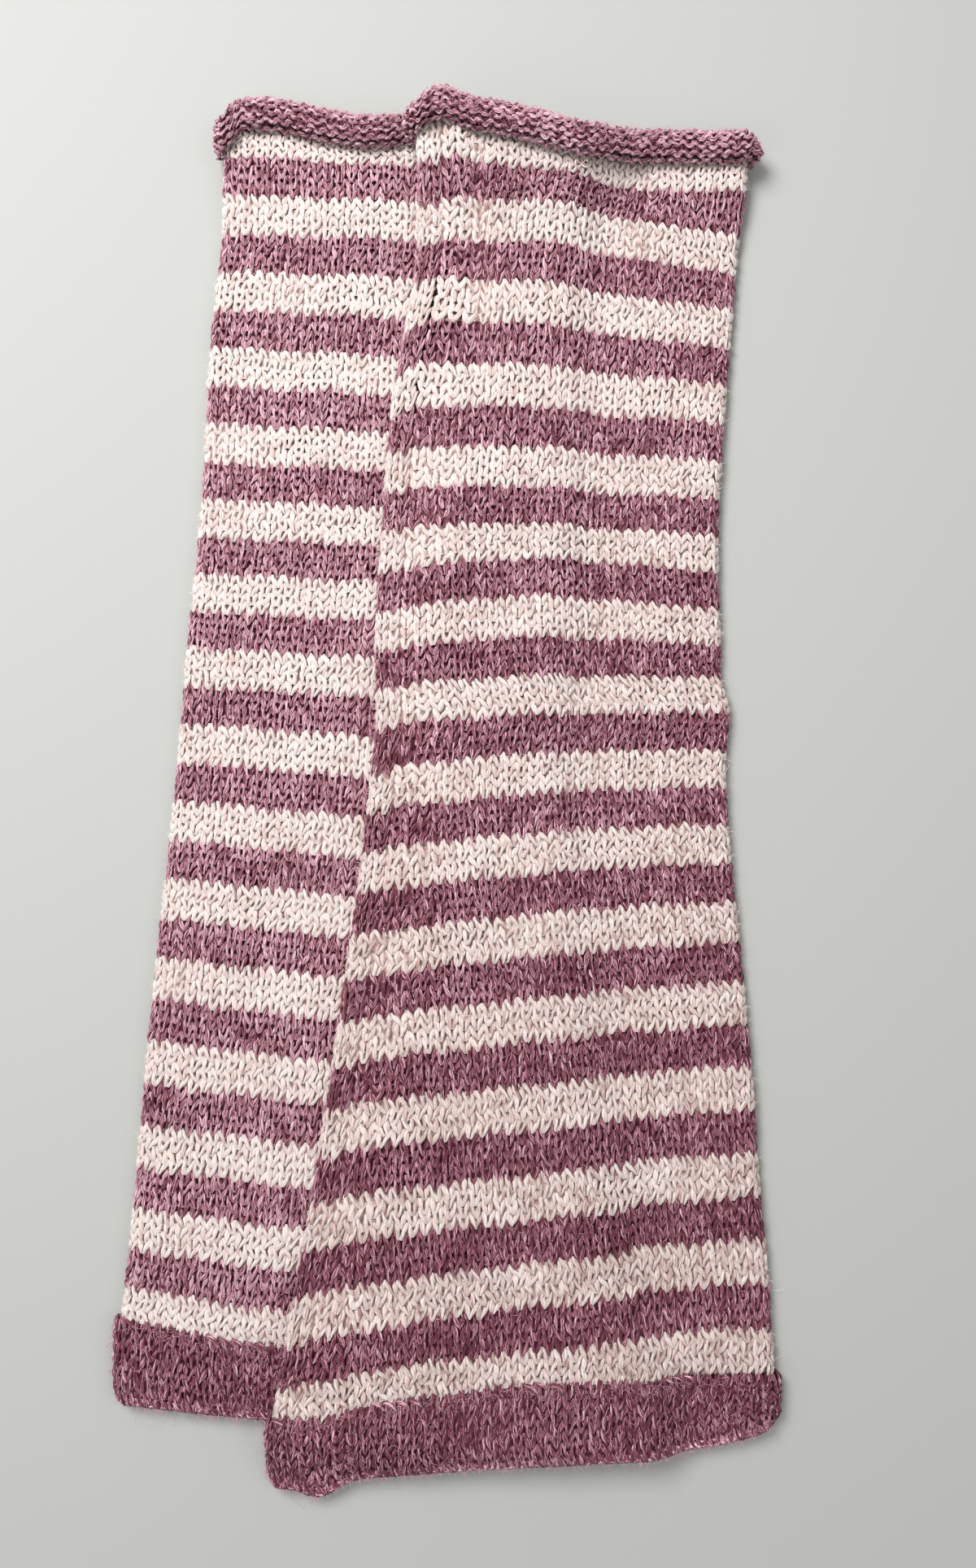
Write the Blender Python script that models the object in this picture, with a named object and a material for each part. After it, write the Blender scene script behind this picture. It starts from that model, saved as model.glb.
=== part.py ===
"""A pair of long knitted mitts in two-colour stripes, laid flat, one partly over the other.

Each mitt is a flattened tube of cloth that is open at both ends: a striped body with a
thumb slit, a rolled edge at the hand end and a folded hem at the arm end. Places and
sizes are in millimetres, +Y runs towards the hand ends and +Z up. Cloth is laid out by
course, one knitted row, counted from the hand end of the striped body.
"""

from math import acos, cos, pi, radians, sin

import bmesh
import bpy
import numpy as np

MM = 0.001

# The cloth, and how long one course is
COURSE_PITCH = 3.0
CLOTH = 2.0
LAYER_GAP = 0.4
SEAM_GAP = 0.3
FLAT = 2 * CLOTH + LAYER_GAP

# The folded hem, which is thicker and wider than the body
HEM_CLOTH = 2.6
HEM_FLAT = 2 * HEM_CLOTH + LAYER_GAP
HEM_WIDER = 2.0
HEM_CORNERS = {"lower_mitt": (3.0, 3.0), "upper_mitt": (2.5, 5.0)}
HEM_CORNER_COURSES = 3.0
SHOULDER_SHARE = 0.75
RIM_SHARE = 0.4

# The rolled edge: how far it reaches past the mouth, and back over the body
ROLL_ABOVE = 6.0
ROLL_BELOW = -3.2
ROLL_CURL = radians(80)
ROLL_FRONT = 2.6
ROLL_BACK = 1.3
ROLL_COVERED = 1.3
ROLL_SHORTER = 2.0
ROLL_CLEAR = 0.4
ROLL_COVER_RUN = 12.0
ROLL_TURN_STEPS = 7
CURL_STEPS = 3
CURL_SHARE = 0.75
TIP_BLUNTNESS = 0.7

# Where the hand ends rise onto their rolls, by distance from the mouth
LIFT_FROM = 4.5
LIFT_TO = 32.0
HAND_LIFT = 2 * ROLL_BACK + CLOTH + LAYER_GAP / 2 - FLAT / 2

# How the upper mitt comes down past the lower mitt's edges
DROP_RUN = 15.0
DROP_RUN_AT_ROLL = 10.0
DROP_BELOW_HEM = 17.0
EDGE_PAST = 3.5
ROLL_PAST = 3.5
HEM_PAST = 4.0
WIDEN_BEFORE_HEM = (-15.0, -5.0)
RISE_BEFORE_HEM = (-18.0, -5.0)
REST_GAP = 0.4

# Where the pair's middle lies in the tables below
MIDDLE_X = -11.685
MIDDLE_Y = 2.335

# One row of each table is one course: its two ends and the rise of its middle
COLUMNS = ("course", "left_x", "left_y", "right_x", "right_y", "sag")
LOWER_ROWS = (
    (0, -79.6, 201.0, 18.0, 197.0, 0.0),
    (4, -79.9, 190.0, 18.0, 186.0, -1.0),
    (12, -80.5, 166.0, 17.5, 162.5, 0.3),
    (24, -83.6, 131.0, 16.7, 125.5, 0.0),
    (40, -85.3, 84.5, 15.2, 79.5, 0.0),
    (56, -88.8, 40.0, 13.0, 34.0, 0.0),
    (72, -92.0, -5.0, 12.8, -14.5, 0.0),
    (88, -96.2, -50.5, 18.8, -61.5, -0.5),
    (104, -99.8, -98.0, 24.5, -110.0, -1.0),
    (116, -102.2, -132.5, 30.4, -145.0, -2.0),
    (124, -104.0, -153.5, 33.6, -165.5, -4.5),
    (131, -104.2, -175.2, 36.0, -185.0, -1.5),
)
UPPER_ROWS = (
    (0, -21.0, 196.0, 78.5, 189.0, 0.0),
    (4, -20.8, 184.5, 77.7, 178.3, -1.5),
    (8, -20.5, 172.5, 76.0, 165.0, 2.6),
    (16, -22.3, 149.6, 73.8, 142.0, 2.4),
    (24, -26.8, 123.8, 71.8, 119.3, 1.5),
    (32, -29.8, 98.4, 69.7, 96.2, 1.3),
    (40, -31.1, 74.6, 68.4, 73.6, 1.6),
    (44, -32.0, 61.7, 68.3, 62.2, 3.6),
    (52, -33.0, 38.2, 68.9, 40.4, 3.3),
    (56, -32.6, 27.3, 69.0, 30.8, 2.0),
    (60, -32.6, 16.3, 71.2, 20.6, 1.6),
    (64, -33.8, 3.6, 69.9, 9.7, 1.9),
    (72, -36.2, -19.8, 70.3, -12.0, 1.5),
    (84, -41.0, -56.3, 73.2, -46.0, 1.6),
    (96, -46.0, -92.0, 76.0, -81.3, 0.8),
    (108, -52.2, -131.5, 78.0, -118.0, 1.6),
    (116, -56.7, -156.8, 80.0, -142.0, 2.3),
    (124, -59.8, -178.5, 80.8, -166.8, 2.4),
    (131, -60.2, -198.0, 80.6, -186.5, 2.0),
)
ROWS = {"lower_mitt": LOWER_ROWS, "upper_mitt": UPPER_ROWS}

# How the mouth waves: share of the way across, and rise over a straight line
MOUTH_COLUMNS = ("across", "rise")
LOWER_MOUTH_WAVES = (
    (0, -8.0),
    (0.04, -5.0),
    (0.12, -1.8),
    (0.2, -2.1),
    (0.3, -4.1),
    (0.42, -5.7),
    (0.55, -4.6),
    (0.75, -2.5),
    (1, 0),
)
UPPER_MOUTH_WAVES = (
    (0, -3.6),
    (0.04, -0.8),
    (0.09, 0.4),
    (0.15, -1.8),
    (0.25, -3.3),
    (0.38, -5.2),
    (0.48, -6.8),
    (0.58, -5.0),
    (0.7, -2.4),
    (0.9, -1.1),
    (1, 0),
)
MOUTH_WAVES = {"lower_mitt": LOWER_MOUTH_WAVES, "upper_mitt": UPPER_MOUTH_WAVES}
MOUTH_WAVE_COURSES = 6

# The seam draws a small bag in the upper mitt's hem, near its left fold
PUCKER_COURSES = (114, 133)
PUCKER_FROM_FOLD = 13.5
PUCKER_REACH = 7.0
PUCKER_DEPTH = 4.0

# The upper mitt's hem rises towards its right corner
HEM_RISE = 5.5
HEM_RISE_FROM = 58.0
HEM_RISE_TO = 84.0
HEM_RISE_BEND = 1.5

# The body's last course and the courses of the hem that follow it
LAST_COURSE = 124
HEM_COURSES = 7

# The courses that get a ring of points, closer where the cloth rises or bulges
HAND_RINGS = (0, 1.5, 3, 5, 7, 10, 14, 20, 28, 36)
MIDDLE_RINGS = (44, 52, 57, 60, 63, 68, 76, 84, 92, 100)
ARM_RINGS = (108, 114, 118, 121, 124)
HEM_RINGS = (0, 1.5, 3, 4.5, 5.6, 6.4, 6.9)
FOLD_STEPS = 6

# Points across a panel: a share of them stands closer together, near the left fold
PANEL_POINTS = {"lower_mitt": (18, 10), "upper_mitt": (26, 18)}
CLOSE_POINTS = 0.35
CLOSE_WIDTH = 0.16

# The thumb slit: courses where it starts and ends, and its distance from the seamed fold
SLIT_COURSES = (15.8, 28.6)
SLIT_FROM_FOLD = 7.3
SLIT_WIDTH = 1.2
SLIT_STEPS = 8

ROSE = (0.40, 0.155, 0.215, 1.0)
PALE = (0.80, 0.66, 0.64, 1.0)
KNIT_ROUGHNESS = 0.9
SHARP_ANGLE = radians(50)


def column(rows, columns, name):
    """One named column of a table."""
    return np.array([row[columns.index(name)] for row in rows], float)


def smooth_step(low, high, value):
    """Nought below low, one above high, and an even curve between them."""
    t = np.clip((np.asarray(value, float) - low) / (high - low), 0, 1)
    return t * t * (3 - 2 * t)


def smooth_curve(places, values, wanted):
    """Values at the wanted places, on a smooth curve through the given ones."""
    places = np.asarray(places, float)
    values = np.asarray(values, float)
    wanted = np.asarray(wanted, float)
    slopes = np.gradient(values, places)
    i = np.clip(np.searchsorted(places, wanted) - 1, 0, len(places) - 2)
    step = places[i + 1] - places[i]
    t = (wanted - places[i]) / step
    rise = values[i + 1] - values[i]
    start = values[i] + t * step * slopes[i]
    bend = 3 * rise - step * (2 * slopes[i] + slopes[i + 1])
    twist = step * (slopes[i] + slopes[i + 1]) - 2 * rise
    return start + bend * t**2 + twist * t**3


def course_ends(mitt, course):
    """The ends and the sag of a course: left x, left y, right x, right y, sag."""
    places = column(ROWS[mitt], COLUMNS, "course")
    wanted = [column(ROWS[mitt], COLUMNS, name) for name in COLUMNS[1:]]
    return [smooth_curve(places, values, course) for values in wanted]


def course_y(mitt, course, x):
    """How far up the course lies at x."""
    left_x, left_y, right_x, right_y, sag = course_ends(mitt, course)
    across = (x - left_x) / (right_x - left_x)
    bow = 4 * sag * np.clip(across * (1 - across), 0, 1)
    near_mouth = np.clip(1 - np.asarray(course, float) / MOUTH_WAVE_COURSES, 0, 1) ** 2
    wave_places = column(MOUTH_WAVES[mitt], MOUTH_COLUMNS, "across")
    wave_rises = column(MOUTH_WAVES[mitt], MOUTH_COLUMNS, "rise")
    wave = near_mouth * smooth_curve(wave_places, wave_rises, np.clip(across, 0, 1))
    bag = rise = 0.0
    if mitt == "upper_mitt":
        near_hem = smooth_step(*PUCKER_COURSES, course)
        offset = (x - left_x - PUCKER_FROM_FOLD) / PUCKER_REACH
        bag = PUCKER_DEPTH * near_hem * np.exp(-(offset**2))
        past = np.clip((x - HEM_RISE_FROM) / (HEM_RISE_TO - HEM_RISE_FROM), 0, 1)
        hem_end = LAST_COURSE + HEM_COURSES
        rise = HEM_RISE * smooth_step(LAST_COURSE, hem_end, course) * past**HEM_RISE_BEND
    return left_y + across * (right_y - left_y) + bow + wave - bag + rise


def right_edge(mitt, y):
    """The right fold's x at y."""
    edge_x = column(ROWS[mitt], COLUMNS, "right_x")
    edge_y = column(ROWS[mitt], COLUMNS, "right_y")
    return smooth_curve(edge_y[::-1], edge_x[::-1], y)


def hand_rise(mitt, x, y):
    """One at the mouth and nought where the mitt lies down flat."""
    return 1 - smooth_step(LIFT_FROM, LIFT_TO, course_y(mitt, 0, x) - y)


def cover(x, y):
    """One where the upper mitt lies on the lower, falling to nought past its edges."""
    at_roll = hand_rise("lower_mitt", x, y)
    hem_line = course_y("lower_mitt", LAST_COURSE, x)
    on_hem = smooth_step(*WIDEN_BEFORE_HEM, hem_line - y)
    past_edge = EDGE_PAST + ROLL_PAST * at_roll + HEM_PAST * on_hem
    edge = right_edge("lower_mitt", y) + past_edge
    beside = 1 - smooth_step(0, DROP_RUN + DROP_RUN_AT_ROLL * at_roll, x - edge)
    hem_end = course_y("lower_mitt", LAST_COURSE + HEM_COURSES, x)
    past_hem = 1 - smooth_step(0, DROP_BELOW_HEM, hem_end - y)
    return beside * past_hem


def lower_top(x, y):
    """How high the lower mitt stands under the upper one."""
    at_roll = hand_rise("lower_mitt", x, y)
    roll_extra = 2 * ROLL_COVERED
    hem_line = course_y("lower_mitt", LAST_COURSE, x)
    on_hem = smooth_step(*RISE_BEFORE_HEM, hem_line - y)
    return FLAT + (HAND_LIFT + roll_extra) * at_roll + (HEM_FLAT - FLAT) * on_hem


def base_height(mitt, x, y):
    """How high the underside of the cloth lies."""
    lift = HAND_LIFT * hand_rise(mitt, x, y)
    if mitt == "lower_mitt":
        return lift
    return lift + cover(x, y) * (lower_top(x, y) + REST_GAP)


def places_across(left, right, count):
    """Places across a panel, closer together near its left fold."""
    close = int(count * CLOSE_POINTS)
    near = np.linspace(0, CLOSE_WIDTH, close + 1)
    far = np.linspace(CLOSE_WIDTH, 1, count - close)
    return left + (right - left) * np.concatenate([near, far[1:]])


def flat_ring(mitt, course, half, flat, wider=0.0, insets=(0.0, 0.0)):
    """A ring round the flattened tube, half a thickness out from its middle."""
    left_x, _, right_x, _, _ = course_ends(mitt, course)
    radius = flat / 2
    left = left_x - wider + radius + insets[0]
    right = right_x + wider - radius - insets[1]
    front_count, back_count = PANEL_POINTS[mitt]
    arc = np.linspace(pi / 2, -pi / 2, FOLD_STEPS + 1)[1:-1]
    x = np.concatenate([
        places_across(left, right, front_count),
        right + half * np.cos(arc),
        places_across(left, right, back_count)[::-1],
        left - half * np.cos(arc),
    ])
    up = np.concatenate([
        np.ones(front_count),
        np.sin(arc),
        -np.ones(back_count),
        -np.sin(arc),
    ])
    y = course_y(mitt, course, x)
    held = np.clip(x, left, right)
    middle = base_height(mitt, held, y) + radius
    return np.stack([x, y, middle + half * up], axis=1)


def body_rings(mitt):
    """Rings along the outside of the body and back along its inside."""
    courses = np.array(HAND_RINGS + MIDDLE_RINGS + ARM_RINGS, float)
    courses[-1] -= SEAM_GAP / 2 / COURSE_PITCH
    outside = [flat_ring(mitt, c, FLAT / 2, FLAT) for c in courses]
    inside = [flat_ring(mitt, c, LAYER_GAP / 2, FLAT) for c in courses[::-1]]
    return np.array(outside + inside)


def hem_insets(mitt, course):
    """How far each side of the hem is drawn in, to round its lower corners."""
    past = max(0.0, course - (HEM_COURSES - HEM_CORNER_COURSES)) / HEM_CORNER_COURSES
    share = 1 - (1 - min(past, 1.0) ** 2) ** 0.5
    return tuple(corner * share for corner in HEM_CORNERS[mitt])


def hem_rings(mitt):
    """Rings along the outside of the hem, round its folded edge and up its inside."""
    start = SEAM_GAP / COURSE_PITCH

    def ring(course, half):
        insets = hem_insets(mitt, course)
        place = LAST_COURSE + course
        return flat_ring(mitt, place, half, HEM_FLAT, HEM_WIDER, insets)

    courses = [start, *HEM_RINGS[1:]]
    inner = LAYER_GAP / 2
    outer = HEM_FLAT / 2
    outside = [ring(c, outer) for c in courses[:-1]]
    shoulder = ring(courses[-1], inner + SHOULDER_SHARE * HEM_CLOTH)
    rim = ring(HEM_COURSES, inner + RIM_SHARE * HEM_CLOTH)
    inside = [ring(c, inner) for c in courses[::-1]]
    return np.array([*outside, shoulder, rim, *inside])


def roll_outline(radius, facing):
    """The rolled cloth cut across: distance out from the inner face, distance along."""
    half = CLOTH / 2
    beside = abs(cos(facing))
    top = ROLL_ABOVE - ROLL_SHORTER * beside - radius - half
    bottom = ROLL_BELOW + radius + half
    least = CLOTH + ROLL_CLEAR - radius
    curl = min(ROLL_CURL, CURL_SHARE * acos(max(-1.0, least / radius)))
    across = half + radius
    line = [((half, SEAM_GAP), pi), ((half, (SEAM_GAP + top) / 2), pi)]
    for angle in np.linspace(pi, 0, ROLL_TURN_STEPS):
        line.append(((across + radius * cos(angle), top + radius * sin(angle)), angle))
    for angle in np.linspace(0, -curl, CURL_STEPS):
        line.append(((across + radius * cos(angle), bottom + radius * sin(angle)), angle))
    outer = [(n + half * cos(a), s + half * sin(a)) for (n, s), a in line]
    inner = [(n - half * cos(a), s - half * sin(a)) for (n, s), a in line]
    (tip_n, tip_s), tip_angle = line[-1]
    past = TIP_BLUNTNESS * half
    tip = (tip_n + past * sin(tip_angle), tip_s - past * cos(tip_angle))
    return np.array([*outer, tip, *inner[::-1]])


def roll_radius(mitt, x):
    """The rolled edge's inner roundness on the front, less where it is covered."""
    if mitt == "upper_mitt":
        return ROLL_FRONT
    cover_edge = course_ends("upper_mitt", 0)[0]
    covered = smooth_step(-ROLL_COVER_RUN, 0, x - cover_edge)
    return float(ROLL_FRONT + (ROLL_COVERED - ROLL_FRONT) * covered)


def fold_radius(mitt, x, angle):
    """The roundness round a fold, from the front's to the back's."""
    share = (1 - sin(angle)) / 2
    return roll_radius(mitt, x) * (1 - share) + ROLL_BACK * share


def roll_grid(mitt):
    """The roll's outline carried round the mouth, over both panels and both folds."""
    left_x, _, right_x, _, _ = course_ends(mitt, 0)
    left = left_x + FLAT / 2
    right = right_x - FLAT / 2
    front_count, back_count = PANEL_POINTS[mitt]
    arc = np.linspace(pi / 2, -pi / 2, FOLD_STEPS + 1)[1:-1]
    front = places_across(left, right, front_count)
    back = places_across(left, right, back_count)[::-1]
    stations = [(x, pi / 2, roll_radius(mitt, x)) for x in front]
    stations += [(right, turn, fold_radius(mitt, right, turn)) for turn in arc]
    stations += [(x, -pi / 2, ROLL_BACK) for x in back]
    stations += [(left, pi - turn, fold_radius(mitt, left, turn)) for turn in arc[::-1]]
    grid = []
    for x, angle, radius in stations:
        outline = roll_outline(radius, angle)
        out = LAYER_GAP / 2 + outline[:, 0]
        px = x + out * cos(angle)
        py = course_y(mitt, 0, px) + outline[:, 1]
        mouth_y = course_y(mitt, 0, x)
        pz = base_height(mitt, x, mouth_y) + FLAT / 2 + out * sin(angle)
        grid.append(np.stack([px, py, pz], axis=1))
    return np.array(grid)


def knit_material(name, colour):
    """A plain yarn finish."""
    material = bpy.data.materials.new(name)
    material.use_nodes = True
    shader = material.node_tree.nodes["Principled BSDF"]
    shader.inputs["Base Color"].default_value = colour
    shader.inputs["Roughness"].default_value = KNIT_ROUGHNESS
    shader.inputs["Metallic"].default_value = 0.0
    material.diffuse_color = colour
    return material


def grid_object(name, grid, material):
    """An object skinned over rows of points, with each row and each column closed."""
    middle = np.array([MIDDLE_X, MIDDLE_Y, 0.0])
    mesh = bpy.data.meshes.new(name)
    shape = bmesh.new()
    corners = [[shape.verts.new((p - middle) * MM) for p in row] for row in grid]
    for i, row in enumerate(corners):
        next_row = corners[(i + 1) % len(corners)]
        for j, corner in enumerate(row):
            across = (j + 1) % len(row)
            shape.faces.new((corner, row[across], next_row[across], next_row[j]))
    bmesh.ops.recalc_face_normals(shape, faces=shape.faces)
    if shape.calc_volume(signed=True) < 0:
        bmesh.ops.reverse_faces(shape, faces=shape.faces)
    shape.to_mesh(mesh)
    shape.free()
    mesh.shade_smooth()
    mesh.set_sharp_from_angle(angle=SHARP_ANGLE)
    mesh.materials.append(material)
    placed = bpy.data.objects.new(name, mesh)
    bpy.context.scene.collection.objects.link(placed)
    return placed


def slit_cutter(mitt, seam_on_left):
    """A long thin lens that cuts the thumb slit through the front panel only."""
    courses = np.linspace(*SLIT_COURSES, SLIT_STEPS + 1)
    left_x, _, right_x, _, _ = course_ends(mitt, courses)
    x = left_x + SLIT_FROM_FOLD if seam_on_left else right_x - SLIT_FROM_FOLD
    y = course_y(mitt, courses, x)
    half = SLIT_WIDTH / 2 * np.sin(np.linspace(0, pi, SLIT_STEPS + 1))
    floor = float(base_height(mitt, x[0], y[0])) + FLAT / 2
    outline = [*zip(x - half, y), *list(zip(x + half, y))[-2:0:-1]]
    middle = np.array([MIDDLE_X, MIDDLE_Y, 0.0])
    shape = bmesh.new()
    bottom = [shape.verts.new((np.array([px, py, floor]) - middle) * MM) for px, py in outline]
    face = shape.faces.new(bottom)
    made = bmesh.ops.extrude_face_region(shape, geom=[face])
    lifted = [item for item in made["geom"] if isinstance(item, bmesh.types.BMVert)]
    bmesh.ops.translate(shape, verts=lifted, vec=(0, 0, 3 * FLAT * MM))
    bmesh.ops.recalc_face_normals(shape, faces=shape.faces)
    mesh = bpy.data.meshes.new(mitt + "_slit_cutter")
    shape.to_mesh(mesh)
    shape.free()
    cutter = bpy.data.objects.new(mesh.name, mesh)
    bpy.context.scene.collection.objects.link(cutter)
    cutter.hide_render = True
    cutter.display_type = "WIRE"
    return cutter


def cut(target, cutter):
    """Cuts the cutter's shape out of the target."""
    modifier = target.modifiers.new(cutter.name, "BOOLEAN")
    modifier.operation = "DIFFERENCE"
    modifier.solver = "EXACT"
    modifier.object = cutter


def make_mitt(mitt, seam_on_left, pale, rose):
    """The three pieces of one mitt."""
    body = grid_object(mitt + "_body", body_rings(mitt), pale)
    cut(body, slit_cutter(mitt, seam_on_left))
    grid_object(mitt + "_arm_hem", hem_rings(mitt), rose)
    grid_object(mitt + "_hand_roll", roll_grid(mitt), rose)


def main():
    for old in list(bpy.data.objects):
        bpy.data.objects.remove(old)
    pale = knit_material("pale_stripes", PALE)
    rose = knit_material("rose_knit", ROSE)
    make_mitt("lower_mitt", False, pale, rose)
    make_mitt("upper_mitt", True, pale, rose)


main()
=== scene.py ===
from math import cos, pi, radians, sin, tan

import bpy
import numpy as np
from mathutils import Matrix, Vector


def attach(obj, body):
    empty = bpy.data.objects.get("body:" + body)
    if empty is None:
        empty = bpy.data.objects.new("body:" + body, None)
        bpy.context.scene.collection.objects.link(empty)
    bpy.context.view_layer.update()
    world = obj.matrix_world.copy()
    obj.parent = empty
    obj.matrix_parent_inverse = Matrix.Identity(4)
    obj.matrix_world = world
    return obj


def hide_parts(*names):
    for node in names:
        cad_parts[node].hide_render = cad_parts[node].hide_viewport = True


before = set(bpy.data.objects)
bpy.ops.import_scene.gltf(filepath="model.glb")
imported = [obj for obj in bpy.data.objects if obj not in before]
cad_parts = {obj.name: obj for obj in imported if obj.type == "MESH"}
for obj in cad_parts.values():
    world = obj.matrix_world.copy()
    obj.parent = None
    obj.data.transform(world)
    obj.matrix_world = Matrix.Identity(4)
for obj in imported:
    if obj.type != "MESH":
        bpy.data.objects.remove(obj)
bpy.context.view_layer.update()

# A pair of long knitted mitts laid flat. Places in the tables are in millimetres, and cloth is laid
# out by course: one knitted row, counted from the hand end of the striped body.
MM = 0.001
rng = np.random.default_rng(7)
LOWER, UPPER = "lower_mitt", "upper_mitt"

# The cloth, as the solids have it
PITCH = 3.0
CLOTH = 2.0
LAYER_GAP = 0.4
FLAT = 2 * CLOTH + LAYER_GAP
HEM_CLOTH = 2.6
HEM_FLAT = 2 * HEM_CLOTH + LAYER_GAP
HEM_WIDER = 2.0
HEM_TUBE = (HEM_FLAT, HEM_WIDER)
HEM_CORNERS = {LOWER: (3.0, 3.0), UPPER: (2.5, 5.0)}
HEM_CORNER_COURSES = 3.0
ROLL_ABOVE, ROLL_BELOW = 6.0, -3.2
ROLL_CURL = radians(80)
CURL_SHARE = 0.75
ROLL_SHORTER = 2.0
ROLL_CLEAR = 0.4
ROLL_FRONT, ROLL_BACK, ROLL_COVERED = 2.6, 1.3, 1.3
ROLL_COVER_RUN = 12.0
LIFT = (4.5, 32.0)
HAND_LIFT = 2 * ROLL_BACK + CLOTH + LAYER_GAP / 2 - FLAT / 2
DROP_RUN = 15.0
DROP_RUN_AT_ROLL = 10.0
DROP_BELOW_HEM = 17.0
EDGE_PAST, ROLL_PAST, HEM_PAST = 3.5, 3.5, 4.0
WIDEN_BEFORE_HEM = (-15.0, -5.0)
RISE_BEFORE_HEM = (-18.0, -5.0)
REST_GAP = 0.4
MIDDLE = np.array([-11.685, 2.335, 0.0])
LAST_COURSE = 124
HEM_COURSES = 7
RIM_COURSE = LAST_COURSE + HEM_COURSES
MOUTH_WAVE_COURSES = 6
PUCKER_COURSES = (114, 133)
PUCKER_FROM_FOLD, PUCKER_REACH, PUCKER_DEPTH = 13.5, 7.0, 4.0
HEM_RISE, HEM_RISE_BEND = 5.5, 1.5
HEM_RISE_FROM, HEM_RISE_TO = 58.0, 84.0
SLIT_COURSES = (15.8, 28.6)
SEAM_FROM_FOLD = 7.3
SEAM = SEAM_FROM_FOLD - FLAT / 2

# The rows of both bodies: course, left x, left y, right x, right y and sag
LOWER_ROWS = (
    (0, -79.6, 201, 18, 197, 0),
    (4, -79.9, 190, 18, 186, -1),
    (12, -80.5, 166, 17.5, 162.5, 0.3),
    (24, -83.6, 131, 16.7, 125.5, 0),
    (40, -85.3, 84.5, 15.2, 79.5, 0),
    (56, -88.8, 40, 13, 34, 0),
    (72, -92, -5, 12.8, -14.5, 0),
    (88, -96.2, -50.5, 18.8, -61.5, -0.5),
    (104, -99.8, -98, 24.5, -110, -1),
    (116, -102.2, -132.5, 30.4, -145, -2),
    (124, -104, -153.5, 33.6, -165.5, -4.5),
    (131, -104.2, -175.2, 36, -185, -1.5),
)
UPPER_ROWS = (
    (0, -21, 196, 78.5, 189, 0),
    (4, -20.8, 184.5, 77.7, 178.3, -1.5),
    (8, -20.5, 172.5, 76, 165, 2.6),
    (16, -22.3, 149.6, 73.8, 142, 2.4),
    (24, -26.8, 123.8, 71.8, 119.3, 1.5),
    (32, -29.8, 98.4, 69.7, 96.2, 1.3),
    (40, -31.1, 74.6, 68.4, 73.6, 1.6),
    (44, -32, 61.7, 68.3, 62.2, 3.6),
    (52, -33, 38.2, 68.9, 40.4, 3.3),
    (56, -32.6, 27.3, 69, 30.8, 2),
    (60, -32.6, 16.3, 71.2, 20.6, 1.6),
    (64, -33.8, 3.6, 69.9, 9.7, 1.9),
    (72, -36.2, -19.8, 70.3, -12, 1.5),
    (84, -41, -56.3, 73.2, -46, 1.6),
    (96, -46, -92, 76, -81.3, 0.8),
    (108, -52.2, -131.5, 78, -118, 1.6),
    (116, -56.7, -156.8, 80, -142, 2.3),
    (124, -59.8, -178.5, 80.8, -166.8, 2.4),
    (131, -60.2, -198, 80.6, -186.5, 2),
)
ROWS = {LOWER: np.array(LOWER_ROWS), UPPER: np.array(UPPER_ROWS)}
MOUTH_WAVES = {
    LOWER: (
        (0, -8), (0.04, -5), (0.12, -1.8), (0.2, -2.1), (0.3, -4.1),
        (0.42, -5.7), (0.55, -4.6), (0.75, -2.5), (1, 0),
    ),
    UPPER: (
        (0, -3.6), (0.04, -0.8), (0.09, 0.4), (0.15, -1.8), (0.25, -3.3), (0.38, -5.2),
        (0.48, -6.8), (0.58, -5), (0.7, -2.4), (0.9, -1.1), (1, 0),
    ),
}

# The stitches
STITCH = 3.5
STRIPE_COURSES = 4
CLOTH_IN = 1.05
CLOTH_DEEPER = 0.30
EDGE_STITCHES = 3
STRETCHED = 3
FOLD_LENGTH = 11.0
ROLL_ROWS = 8
ROLL_PITCH = 2.6
ROLL_FIRST = -1.0
ROLL_HIGHER_AT_FOLD = 2.2
ROLL_LIP = 3.5
SLUMP_WIDTH = 4.0
CORNER_RAISED = 2.6
CORNER = (2.0, 13.0)
CORNER_AT, CORNER_WIDE, CORNER_NARROWER = 3.0, 2.4, 0.6
ROLL_CLOTH = 19.5
PRESSED = 0.25
TILTED = 0.09


def ease(low, high, value):
    """Nought below low, one above high, and an even curve between them."""
    t = np.clip((value - low) / (high - low), 0, 1)
    return t * t * (3 - 2 * t)


def smooth_curve(places, values, wanted):
    """Values at the wanted places, on a smooth curve through the given ones."""
    slopes = np.gradient(values, places)
    i = np.clip(np.searchsorted(places, wanted) - 1, 0, len(places) - 2)
    step = places[i + 1] - places[i]
    t = (wanted - places[i]) / step
    rise = values[i + 1] - values[i]
    start = values[i] + t * step * slopes[i]
    bend = 3 * rise - step * (2 * slopes[i] + slopes[i + 1])
    twist = step * (slopes[i] + slopes[i + 1]) - 2 * rise
    return start + bend * t**2 + twist * t**3


def course_ends(mitt, course):
    """The ends and the sag of a course, in the order of the table."""
    table = ROWS[mitt]
    return [smooth_curve(table[:, 0], column, course) for column in table[:, 1:].T]


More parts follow.
